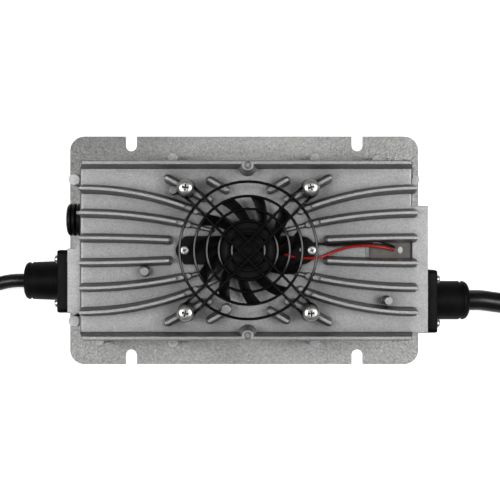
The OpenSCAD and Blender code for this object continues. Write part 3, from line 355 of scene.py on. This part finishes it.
print("materials are made")


def addPiece(name, data, material, body="charger", replaced=()):
    data.materials.append(material)
    piece = addObject(name, data)
    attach(piece, body)
    if replaced:
        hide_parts(*replaced)
    return piece


def addMesh(name, build, material, body="charger", replaced=(), smoothAngle=35.0):
    mesh = bpy.data.meshes.new(name)
    for face in build.faces:
        face.smooth = True
    for edge in build.edges:
        if len(edge.link_faces) == 2:
            edge.smooth = edge.calc_face_angle(0.0) < math.radians(smoothAngle)
    build.to_mesh(mesh)
    build.free()
    return addPiece(name, mesh, material, body, replaced)


# a merged copy of a CAD node, with smooth curved faces and crisp edges
def refine(nodeName, pieceName, material, body="charger", smoothAngle=32.0, bevel=0.0):
    build = bmesh.new()
    build.from_mesh(nodes[nodeName].data)
    bmesh.ops.remove_doubles(build, verts=build.verts, dist=2 * mergeDistance)
    bmesh.ops.dissolve_degenerate(build, dist=mergeDistance, edges=build.edges)
    piece = addMesh(pieceName, build, material, body, (nodeName,), smoothAngle)
    if bevel:
        rounding = piece.modifiers.new("softEdges", "BEVEL")
        rounding.width = bevel
        rounding.segments = 2
        rounding.limit_method = "ANGLE"
        rounding.angle_limit = math.radians(smoothAngle)
        rounding.harden_normals = True
    return piece


# a curve with a round section, whose roundness is its number of sides in each quarter
def newCurve(name, radius, roundness):
    curve = bpy.data.curves.new(name, "CURVE")
    curve.dimensions = "3D"
    curve.bevel_depth = radius
    curve.bevel_resolution = roundness
    return curve


cableForm = {"roundness": 5, "steps": 4}


# a round cable or wire along one smooth spline through the points
def smoothCurve(name, points, radius, material, replaced):
    curve = newCurve(name, radius, cableForm["roundness"])
    curve.resolution_u = cableForm["steps"]
    curve.use_fill_caps = True
    spline = curve.splines.new("BEZIER")
    spline.bezier_points.add(len(points) - 1)
    for i, point in enumerate(points):
        before, after = points[max(i - 1, 0)], points[min(i + 1, len(points) - 1)]
        heading = (after - before).normalized()
        knot = spline.bezier_points[i]
        knot.handle_left_type = knot.handle_right_type = "FREE"
        knot.co = point
        knot.handle_left = point - heading * (point - before).length / 3
        knot.handle_right = point + heading * (after - point).length / 3
    return addPiece(name, curve, material, replaced=replaced)


def easeIn(t):
    t = min(max(t, 0.0), 1.0)
    return t * t * (3 - 2 * t)


# each turn has a radius and a height; out and tail, the routes to and from the coil, are in millimetres
mainsLead = {
    "radius": 0.00415,
    "length": 1.53,
    "coilAt": (-0.218, 0.0238),
    "turns": [(0.0543, 0.00417), (0.046, 0.00417), (0.0377, 0.00417), (0.0377, 0.01247), (0.046, 0.01247)],
    "direction": -1,
    "lastAngle": 293.0,
    "out": [(-131, -18.2, 24), (-137, -18.2, 24), (-143, -18.9, 23.4), (-149, -20.4, 22.1),
            (-155, -21.7, 20.3), (-161, -23.1, 18), (-167, -24.5, 15.3), (-174, -26.1, 12),
            (-181, -27.6, 8.9), (-188, -28.8, 6.6), (-196, -29.8, 5), (-205, -30.4, 4.3),
            (-218, -30.5, 4.2)],
    "tail": [(-175.7, 5.8, 12.5), (-178.4, 0.3, 13.1), (-181.8, -4.8, 14.6), (-186, -9.4, 16.8),
             (-191, -13.4, 19), (-196.7, -16.7, 20.4), (-202.8, -19.3, 20.9), (-209, -21.1, 21.1),
             (-215.4, -21.5, 21.4), (-221.8, -20.7, 22), (-228, -18.6, 22.8), (-233.7, -15.4, 23.8),
             (-238.7, -11.2, 24.9), (-243, -6.1, 26), (-246.2, -0.2, 27), (-248.4, 6.4, 27.9),
             (-249.4, 12.6, 28.4), (-249.6, 18, 28.6)],
}
batteryLead = {
    "radius": 0.0061,
    "length": 0.87,
    "coilAt": (0.236, 0.0256),
    "turns": [(0.0671, 0.0061), (0.0549, 0.0061)],
    "direction": 1,
    "lastAngle": 280.0,
    "out": [(134.5, -30, 24), (142, -30, 24), (149, -30.9, 23.4), (156, -31.9, 22.3), (163, -33.1, 20.6),
            (170, -34.5, 18.4), (177, -36, 15.8), (184, -37.5, 13.1), (191, -38.8, 10.7), (198, -39.9, 8.8),
            (206, -40.8, 7.3), (216, -41.4, 6.4), (236, -41.5, 6.2)],
    "tail": [(182, 16, 6.2), (183.3, 9.3, 7), (185.7, 2.9, 8.6), (189, -3.3, 10.8), (193.3, -9, 13.1),
             (198.3, -14.2, 15.2), (204, -18.8, 16.9), (210.4, -22.6, 18.2), (217.2, -25.7, 19.2),
             (224.4, -27.9, 19.8), (231.5, -29.1, 20.1), (238, -29.4, 20.2)],
}
coilForm = {"startAngle": 270.0, "perTurn": 16, "crossOver": 60.0}


# the points of a coil's turns: the last stretch of each turn passes over to the next one
def coilTurns(lead):
    turns = lead["turns"]
    total = 360.0 * (len(turns) - 1) + lead["lastAngle"]
    count = round(total / 360.0 * coilForm["perTurn"])
    points = []
    for i in range(1, count):
        swept = total * i / count
        turn = min(int(swept // 360.0), len(turns) - 1)
        here, after = turns[turn], turns[min(turn + 1, len(turns) - 1)]
        share = easeIn((swept - 360.0 * (turn + 1)) / coilForm["crossOver"] + 1)
        radius, height = (low + (high - low) * share for low, high in zip(here, after))
        angle = math.radians(coilForm["startAngle"] + lead["direction"] * swept)
        x, y = lead["coilAt"]
        points.append(Vector((x + radius * math.cos(angle), y + radius * math.sin(angle), height)))
    return points


def inMetres(route):
    return [Vector(point) * mm for point in route]


def layLead(name, lead, replaced):
    points = inMetres(lead["out"]) + coilTurns(lead) + inMetres(lead["tail"])
    return smoothCurve(name, points, lead["radius"], sheathRubber, replaced)


mainsPlug = refine("mains_plug", "mainsPlug", blackMoulding, bevel=0.0007)
plugPins = refine("mains_plug_pins", "plugPins", pinBrass, bevel=0.0002)
batteryConnector = refine("output_connector", "batteryConnector", connectorRed, bevel=0.0006)
connectorContacts = refine("connector_contacts", "connectorContacts", silverPlate, bevel=0.0002)

mainsCable = layLead("mainsCable", mainsLead, ("input_cable", "input_coil", "input_tail"))
batteryCable = layLead("batteryCable", batteryLead, ("output_cable", "output_coil", "output_tail"))
print("leads are laid")


refine("housing", "castHousing", castMetal, smoothAngle=30.0)
refine("base_plate", "basePlate", galvanised, bevel=0.0003)
for nodeName, pieceName, material, slot in (
        ("base_gasket", "baseGasket", sealRubber, "seal"),
        ("base_screws", "baseScrews", zincScrew, "base_screw"),
        ("side_plug", "sidePlug", sealRubber, "seal"),
        ("input_gland", "mainsGland", blackMoulding, "gland"),
        ("output_gland", "batteryGland", blackMoulding, "gland"),
        ("input_gland_gasket", "mainsGlandGasket", sealRubber, "seal"),
        ("output_gland_gasket", "batteryGlandGasket", sealRubber, "seal"),
        ("input_gland_screws", "mainsGlandScrews", brightScrew, "screw"),
        ("output_gland_screws", "batteryGlandScrews", brightScrew, "screw"),
        ("input_lead_inner", "mainsLeadInner", sheathRubber, "cable"),
        ("output_lead_inner", "batteryLeadInner", sheathRubber, "cable")):
    refine(nodeName, pieceName, material)

# ragged lumps of flash, each with its place and its half size in millimetres
castFlash = {
    "ragged": 0.45,
    "unevenness": 1.7,
    "lumps": [
        # the back rail's right end
        ((82.6, 52.0, 55.4), (1.3, 0.7, 0.7)), ((85.0, 51.8, 56.1), (0.6, 0.5, 0.5)),
        ((92.2, 51.8, 56.2), (1.2, 0.5, 0.6)), ((95.0, 51.4, 55.6), (0.8, 0.6, 0.6)),
        ((96.6, 49.8, 54.6), (0.5, 0.9, 0.6)),
        # the right wall's top
        ((98.5, 47.4, 43.2), (0.5, 1.6, 0.7)), ((98.5, 43.0, 43.3), (0.5, 1.2, 0.6)),
        # the front rail's right end
        ((86.2, -51.8, 55.9), (1.4, 0.45, 0.5)), ((88.4, -51.9, 55.4), (0.7, 0.5, 0.5)),
        ((92.6, -51.5, 56.0), (0.9, 0.6, 0.5)), ((95.6, -51.0, 55.0), (0.9, 0.5, 0.6)),
        # the back rail's left end
        ((-92.4, 51.5, 55.6), (0.8, 0.5, 0.5)), ((-91.0, 51.6, 56.1), (0.9, 0.5, 0.4)),
        # the window's left edge
        ((71.9, 0.7, 45.35), (0.3, 3.7, 0.4)), ((72.75, -1.4, 45.2), (0.5, 0.7, 0.5)),
    ],
}


def flashLumps():
    build = bmesh.new()
    for place, half in castFlash["lumps"]:
        lump = bmesh.ops.create_icosphere(build, subdivisions=2, radius=1.0)["verts"]
        for vert in lump:
            swelling = noise.noise(vert.co * castFlash["unevenness"] + Vector(place))
            vert.co *= 1 + castFlash["ragged"] * swelling
        bmesh.ops.scale(build, vec=Vector(half) * mm, verts=lump)
        bmesh.ops.translate(build, vec=Vector(place) * mm, verts=lump)
    return build


addMesh("castFlash", flashLumps(), castMetal, smoothAngle=50.0)
print("housing is dressed")


def moveBy(build, vec):
    bmesh.ops.translate(build, vec=vec, verts=build.verts)


def closeUp(build):
    bmesh.ops.remove_doubles(build, verts=build.verts, dist=mergeDistance)
    bmesh.ops.recalc_face_normals(build, faces=build.faces)


# spins vertices and edges once round the upright axis
def spinRound(build, geometry, steps):
    bmesh.ops.spin(build, geom=geometry, cent=(0, 0, 0), axis=(0, 0, 1), angle=math.tau, steps=steps,
                   use_merge=True)


# a profile of (radius, height) in millimetres, spun once round the upright axis
def spunProfile(profile, steps):
    build = bmesh.new()
    ring = [build.verts.new((r * mm, 0, z * mm)) for r, z in profile]
    edges = [build.edges.new(pair) for pair in zip(ring, ring[1:])]
    spinRound(build, ring + edges, steps)
    closeUp(build)
    return build


def joinInto(build, other):
    scratch = bpy.data.meshes.new("scratch")
    other.to_mesh(scratch)
    other.free()
    build.from_mesh(scratch)
    bpy.data.meshes.remove(scratch)


# millimetres and degrees; rootShare is the chord at the root as a share of the tip's,
# and camber bulges a blade partly back and partly up
fanBlades = {"count": 11, "firstAngle": 62.5, "root": 17.0, "tip": 31.0, "low": 51.2, "rise": 6.0,
             "sweep": 18.0, "chord": 8.2, "rootShare": 0.72, "camber": 1.1, "back": 0.66, "up": 0.72,
             "thickness": 0.95, "segments": (10, 8)}
fanHub = {"profile": [(16.0, 50.0), (17.6, 50.0), (17.6, 57.0), (17.45, 57.6), (17.1, 58.1), (16.5, 58.4),
                      (15.9, 58.5), (12.9, 58.5), (12.4, 58.4), (12.1, 58.1), (11.6, 58.0), (4.2, 58.0),
                      (3.9, 57.9), (3.6, 57.9), (0.0, 57.9)], "steps": 96}


# where a blade's middle surface lies, with span and chord from 0 to 1
def bladePlace(span, chord):
    blade = fanBlades
    r = blade["root"] + span * (blade["tip"] - blade["root"])
    half = blade["chord"] / 2 / r * (blade["rootShare"] + (1 - blade["rootShare"]) * span)
    camber = blade["camber"] * (1 - (2 * chord - 1) ** 2)
    angle = math.radians(blade["sweep"]) * span + (2 * chord - 1) * half - camber * blade["back"] / r
    z = blade["low"] + chord * blade["rise"] + camber * blade["up"]
    return Vector((r * math.cos(angle), r * math.sin(angle), z)) * mm


def fanImpeller():
    build = bmesh.new()
    across, along = fanBlades["segments"]
    bmesh.ops.create_grid(build, x_segments=across, y_segments=along, size=0.5)
    for vert in build.verts:
        chord, span = (min(max(part + 0.5, 0.0), 1.0) for part in vert.co.xy)
        vert.co = bladePlace(span, chord)
    bmesh.ops.solidify(build, geom=build.faces[:], thickness=fanBlades["thickness"] * mm)
    middle = sum((vert.co for vert in build.verts), Vector()) / len(build.verts)
    moveBy(build, (0, 0, bladePlace(0.5, 0.5).z - middle.z))  # level with its surface's middle
    bmesh.ops.recalc_face_normals(build, faces=build.faces)
    first = build.verts[:] + build.edges[:] + build.faces[:]
    for k in range(1, fanBlades["count"]):
        copied = bmesh.ops.duplicate(build, geom=first)["geom"]
        bmesh.ops.rotate(build, verts=[part for part in copied if isinstance(part, bmesh.types.BMVert)],
                         cent=(0, 0, 0), matrix=Matrix.Rotation(math.tau * k / fanBlades["count"], 3, "Z"))
    bmesh.ops.rotate(build, verts=build.verts, cent=(0, 0, 0),
                     matrix=Matrix.Rotation(math.radians(fanBlades["firstAngle"]), 3, "Z"))
    joinInto(build, spunProfile(fanHub["profile"], fanHub["steps"]))
    moveBy(build, (fanX, 0, 0))
    return build


addMesh("fanImpeller", fanImpeller(), fanMoulding, "fan_rotor", ("fan_impeller",))
for nodeName, pieceName, material, slot, body in (
        ("fan_bracket", "fanBracket", fanMoulding, "fan_plastic", "charger"),
        ("fan_shaft", "fanShaft", groundSteel, "fan_steel", "fan_rotor"),
        ("rotor_yoke", "rotorYoke", groundSteel, "fan_steel", "fan_rotor"),
        ("rotor_magnet", "rotorMagnet", ferrite, "ferrite", "fan_rotor"),
        ("fan_motor_board", "fanMotorBoard", boardGreen, "board", "charger"),
        ("fan_stator", "fanStator", copperWinding, "winding", "charger"),
        ("fan_bearing", "fanBearing", sinteredBronze, "bearing", "charger")):
    refine(nodeName, pieceName, material, body)

# at is (x, y, turn) from the fan's axis, recess an arm, a half width and a depth, and shank a radius
# and a length, in millimetres and degrees
earScrews = {"at": [(-36.9, 0, 20), (36.9, 0, 20)], "seat": 47.8, "radius": 2.65, "height": 1.9,
             "roundness": 4.5, "recess": (1.3, 0.28, 0.9), "shank": (1.5, 5.6)}
guardScrews = {"at": [(-35.75, -35.75, -15), (-35.75, 35.75, -5), (35.75, -35.75, 5), (35.75, 35.75, 15)],
               "seat": 58.6, "radius": 5.0, "height": 3.3, "roundness": 2.5, "recess": (2.0, 0.45, 1.6),
               "shank": (2.5, 12.0)}
# the dome starts at opening times the recess's arm, tip is the shank's chamfer, inwards and upwards,
# and narrowing is the recess's width at its bottom as a share of its mouth's
screwForm = {"opening": 1.12, "domeSteps": 10, "tip": (0.4, 0.5), "narrowing": 0.55, "steps": 36}


# a pan head with a cross recess, on a plain shank, standing on the plane z = 0
def crossHeadScrew(screw):
    arm, half, depth = screw["recess"]
    radius, height, roundness = screw["radius"], screw["height"], screw["roundness"]
    opening = screwForm["opening"] * arm / radius
    turns = [math.radians(90 * k / screwForm["domeSteps"]) for k in range(screwForm["domeSteps"] + 1)]
    reach = [radius * (opening + (1 - opening) * math.sin(turn)) for turn in turns]
    dome = [(r, height * (1 - (r / radius) ** roundness) ** (1 / roundness)) for r in reach]
    shank, length = screw["shank"]
    tipIn, tipUp = screwForm["tip"]
    stem = [(shank, 0), (shank, tipUp - length), (shank - tipIn, -length), (0, -length)]
    build = spunProfile(dome + stem, screwForm["steps"])
    rim = [edge for edge in build.edges if edge.is_boundary]
    cross = []
    for quarter in range(4):
        turned = Matrix.Rotation(math.pi / 2 * quarter, 3, "Z")
        for x, y in ((arm, -half), (arm, half), (half, half)):
            cross.append(build.verts.new(turned @ Vector((x, y, dome[0][1])) * mm))
    outline = [build.edges.new((cross[k - 1], cross[k])) for k in range(len(cross))]
    bmesh.ops.triangle_fill(build, edges=rim + outline, use_beauty=True)
    sunk = bmesh.ops.extrude_edge_only(build, edges=outline)["geom"]
    low = [part for part in sunk if isinstance(part, bmesh.types.BMVert)]
    bmesh.ops.scale(build, vec=(screwForm["narrowing"], screwForm["narrowing"], 1), verts=low)
    bmesh.ops.translate(build, vec=(0, 0, -depth * mm), verts=low)
    bottom = [edge for edge in build.edges if set(edge.verts) <= set(low)]
    bmesh.ops.triangle_fill(build, edges=bottom, use_beauty=True)
    bmesh.ops.recalc_face_normals(build, faces=build.faces)
    return build


def screwSet(screw):
    build = bmesh.new()
    for x, y, turn in screw["at"]:
        one = crossHeadScrew(screw)
        place = Matrix.Translation((fanX + x * mm, y * mm, screw["seat"] * mm))
        turned = Matrix.Rotation(math.radians(turn), 4, "Z")
        bmesh.ops.transform(one, matrix=place @ turned, verts=one.verts)
        joinInto(build, one)
    return build


addMesh("fanScrews", screwSet(earScrews), satinScrew, replaced=("fan_screws",), smoothAngle=40.0)
addMesh("guardScrews", screwSet(guardScrews), brightScrew, replaced=("guard_screws",),
        smoothAngle=40.0)

# millimetres and degrees; an arm wire is level out to levelEnd, dips to loopHeight at foot, and turns
# round a post; ringSteps is a least number of steps and the steps that each millimetre of radius adds
guardWire = {"radius": 0.8, "rings": (9.35, 16.8, 23.6, 30.8, 39.05), "ringHeight": 60.8, "ringSides": 14,
             "ringSteps": (24, 2.4), "armTurns": (45.0, -45.0), "armHeight": 62.4, "armRoundness": 4,
             "levelEnd": 42.6, "foot": 46.6, "bend": 2.5, "bendSteps": 6, "loopHeight": 57.8,
             "post": 50.558, "halfGap": 3.65, "loopSteps": 12}


def guardRings():
    build = bmesh.new()
    least, perRadius = guardWire["ringSteps"]
    for r in guardWire["rings"]:
        centre = Matrix.Translation((r * mm, 0, guardWire["ringHeight"] * mm))
        upright = Matrix.Rotation(math.pi / 2, 4, "X")
        section = bmesh.ops.create_circle(build, segments=guardWire["ringSides"],
                                          radius=guardWire["radius"] * mm, matrix=centre @ upright)["verts"]
        edges = list({edge for vert in section for edge in vert.link_edges})
        spinRound(build, section + edges, int(least + perRadius * r))
    closeUp(build)
    moveBy(build, (fanX, 0, 0))
    return build


# the short arc that rounds a corner of a path
def roundedCorner(before, corner, after, radius, steps):
    back, ahead = (before - corner).normalized(), (after - corner).normalized()
    half = back.angle(ahead) / 2
    centre = corner + (back + ahead).normalized() * radius / math.sin(half)
    reach = radius / math.tan(half)
    start, end = corner + back * reach - centre, corner + ahead * reach - centre
    return [centre + start.slerp(end, k / steps).normalized() * radius for k in range(steps + 1)]


# one closed arm wire: two level runs that dip at both ends, and a half loop round each of two posts
def armWire(turn):
    wire = guardWire
    ends = [(wire["post"], wire["loopHeight"]), (wire["foot"], wire["loopHeight"]),
            (wire["levelEnd"], wire["armHeight"])]
    path = ends + [(-x, z) for x, z in reversed(ends)]
    points = []
    for side in (1, -1):
        corners = [Vector((-side * x, -side * wire["halfGap"], z)) for x, z in path]
        points.append(corners[0])
        for before, corner, after in zip(corners, corners[1:], corners[2:]):
            points += roundedCorner(before, corner, after, wire["bend"], wire["bendSteps"])
        points.append(corners[-1])
        for k in range(1, wire["loopSteps"]):
            swept = math.radians(180 * k / wire["loopSteps"] - 90)
            x, y = wire["post"] + wire["halfGap"] * math.cos(swept), wire["halfGap"] * math.sin(swept)
            points.append(Vector((side * x, side * y, wire["loopHeight"])))
    place = Matrix.Translation((fanX, 0, 0)) @ Matrix.Rotation(math.radians(turn), 4, "Z")
    return [place @ (point * mm) for point in points]


def guardArms():
    curve = newCurve("guardArms", guardWire["radius"] * mm, guardWire["armRoundness"])
    for turn in guardWire["armTurns"]:
        points = armWire(turn)
        spline = curve.splines.new("POLY")
        spline.points.add(len(points) - 1)
        for knot, point in zip(spline.points, points):
            knot.co = (*point, 1.0)
        spline.use_cyclic_u = True
    return curve


addMesh("guardRings", guardRings(), wireCoat, replaced=("guard_rings",), smoothAngle=60.0)
addPiece("guardArms", guardArms(), wireCoat, replaced=("guard_arms",))

fanWires = {
    "radius": 0.0007,
    "red": [(15.2, -1.2, 48.55), (19, -1.4, 48.55), (23.3, -2.2, 48.55), (29.3, -3.9, 48.55),
            (36.4, -4.6, 48.6), (43, -4.2, 48.6), (47.3, -3, 47.8), (51.3, -1.3, 47), (57.6, 0.9, 46.6),
            (63.9, 2.2, 46.8), (71.6, 2.6, 47.2), (78.4, 2.1, 47), (84.3, 1, 45.6), (86.9, 0.1, 44),
            (87.6, -0.3, 42.4)],
    "black": [(15.2, 1.2, 48.55), (21, 1.6, 48.55), (28, 3, 48.55), (36, 4, 48.6), (43.6, 3.8, 49),
              (51.4, 2.9, 49.8), (59.9, 3.4, 49.6), (68.4, 4.2, 50), (76.6, 4.3, 49.6), (82.5, 3.6, 47.6),
              (86.6, 2.4, 45), (87.9, 1.9, 43.4), (88.2, 1.7, 42.2)],
}
smoothCurve("redFanWire", inMetres(fanWires["red"]), fanWires["radius"], redInsulation,
            ("red_fan_wire",))
smoothCurve("blackFanWire", inMetres(fanWires["black"]), fanWires["radius"], blackInsulation,
            ("black_fan_wire",))
print("fan and guard are dressed")


refine("potting_compound", "pottingCompound", pottingMix)
pottingPaleSpot = {"at": (91.5, 0.2, 42.65), "narrowing": 0.7, "steps": 24,
               "profile": [(2.1, 0.0), (2.0, 0.2), (1.6, 0.38), (1.0, 0.48), (0.0, 0.52)]}


# a small pale dome on the potting's top
def paleSpotDome():
    build = spunProfile(pottingPaleSpot["profile"], pottingPaleSpot["steps"])
    bmesh.ops.scale(build, vec=(pottingPaleSpot["narrowing"], 1, 1), verts=build.verts)
    moveBy(build, Vector(pottingPaleSpot["at"]) * mm)
    return build


addMesh("pottingPaleSpot", paleSpotDome(), pottingPale, smoothAngle=80.0)
for nodeName, pieceName, material, slot in (
        ("circuit_board", "circuitBoard", boardGreen, "board"),
        ("transformer_core", "transformerCore", ferrite, "ferrite"),
        ("transformer_winding", "transformerWinding", copperWinding, "winding"),
        ("bulk_capacitors", "bulkCapacitors", componentSleeve, "component"),
        ("output_capacitors", "outputCapacitors", componentSleeve, "component"),
        ("input_choke", "inputChoke", copperWinding, "winding"),
        ("output_choke", "outputChoke", copperWinding, "winding"),
        ("power_transistors", "powerTransistors", componentSleeve, "component"),
        ("input_fuse", "inputFuse", fuseCeramic, "fuse")):
    refine(nodeName, pieceName, material)
print("inner pieces are dressed")
